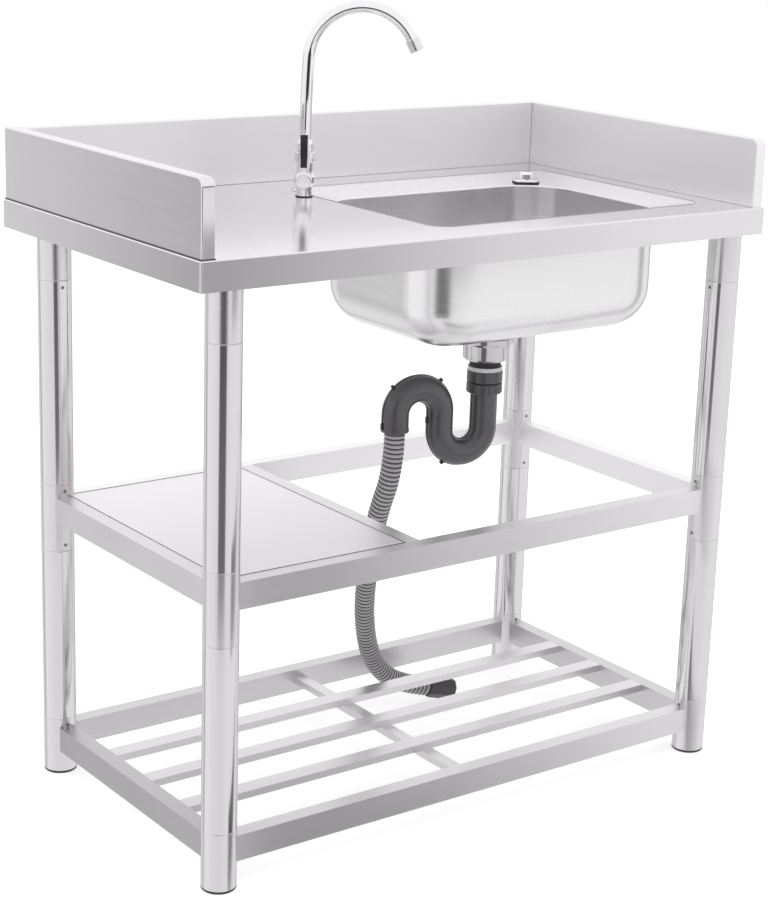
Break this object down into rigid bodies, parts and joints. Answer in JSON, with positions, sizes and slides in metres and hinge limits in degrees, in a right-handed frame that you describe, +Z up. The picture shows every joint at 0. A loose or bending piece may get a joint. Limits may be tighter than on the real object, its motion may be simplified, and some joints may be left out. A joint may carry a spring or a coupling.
{
  "type": "kitchen sink unit",
  "caption": "Free-standing stainless steel sink table: bowl and drainboard with splash guards, swivel tap, round legs, shelves, trap and waste hose.",
  "frame": {"origin": "on the floor, under the middle of the worktop", "axes": "+X to the right along the front edge, +Y towards the back guard, +Z up"},
  "size_m": [0.9, 0.5, 1.0625],
  "materials": {
    "steel_sheet": "satin, fine horizontal brushing",
    "steel_bowl": "satin",
    "steel_tube": "polished",
    "steel_sleeve": "satin",
    "steel_rail": "satin",
    "black_plastic": "matte",
    "screw_steel": "bright",
    "chrome": "polished",
    "brushed_nozzle": "satin",
    "black_rubber": "matte",
    "brass": "machined",
    "grey_plastic": "semi-matte",
    "steel_strainer": "satin",
    "pale_plastic": "semi-matte",
    "nut_plastic": "semi-matte",
    "trap_plastic": "semi-matte",
    "hose_plastic": "semi-matte"
  },
  "bodies": {
    "table": {"worktop": "steel_sheet", "guard_left": "steel_sheet", "guard_right": "steel_sheet", "guard_back": "steel_sheet", "mid_shelf_panel": "steel_sheet", "basin": "steel_bowl", "leg_socket_front_left": "steel_tube", "upper_leg_front_left": "steel_tube", "lower_leg_front_left": "steel_tube", "mid_sleeve_front_left": "steel_sleeve", "low_sleeve_front_left": "steel_sleeve", "leg_socket_front_right": "steel_tube", "upper_leg_front_right": "steel_tube", "lower_leg_front_right": "steel_tube", "mid_sleeve_front_right": "steel_sleeve", "low_sleeve_front_right": "steel_sleeve", "leg_socket_back_left": "steel_tube", "upper_leg_back_left": "steel_tube", "lower_leg_back_left": "steel_tube", "mid_sleeve_back_left": "steel_sleeve", "low_sleeve_back_left": "steel_sleeve", "leg_socket_back_right": "steel_tube", "upper_leg_back_right": "steel_tube", "lower_leg_back_right": "steel_tube", "mid_sleeve_back_right": "steel_sleeve", "low_sleeve_back_right": "steel_sleeve", "mid_rail_front": "steel_rail", "mid_rail_back": "steel_rail", "mid_rail_left": "steel_rail", "mid_rail_right": "steel_rail", "low_rail_front": "steel_rail", "low_rail_back": "steel_rail", "low_rail_left": "steel_rail", "low_rail_right": "steel_rail", "mid_cross_bar": "steel_rail", "low_shelf_grid": "steel_rail", "feet": "black_plastic", "set_screws": "screw_steel", "tap_body": "chrome", "tap_collar": "chrome", "hole_cap": "chrome", "tap_gasket": "black_rubber", "hole_cap_washer": "black_rubber", "drain_gasket": "black_rubber", "outlet_seal": "black_rubber", "tap_cartridge": "brass", "tap_back_nut": "brass", "hole_cap_nut": "grey_plastic", "drain_lock_ring": "steel_strainer", "drain_cup": "steel_strainer", "outlet_washer": "pale_plastic", "slip_nut_upper": "nut_plastic", "slip_nut_lower": "nut_plastic", "hose_end": "nut_plastic", "trap": "trap_plastic", "drain_hose": "hose_plastic"},
    "spout": {"tap_spout": "chrome", "tap_aerator": "brushed_nozzle"},
    "lever": {"tap_lever": "chrome"},
    "basket": {"drain_basket": "steel_strainer"}
  },
  "joints": [
    {"name": "spout_swivel", "type": "hinge", "parent": "table", "child": "spout", "pos_m": [-0.0772, 0.0983, 0.86], "axis": [0, 0, 1], "range_deg": [-110, 110]},
    {"name": "lever_turn", "type": "hinge", "parent": "table", "child": "lever", "pos_m": [-0.0772, 0.0983, 0.826], "axis": [-0.5878, -0.809, 0], "range_deg": [0, 90]},
    {"name": "basket_lift", "type": "slide", "parent": "table", "child": "basket", "axis": [0, 0, 1], "range_m": [0, 0.06]}
  ]
}
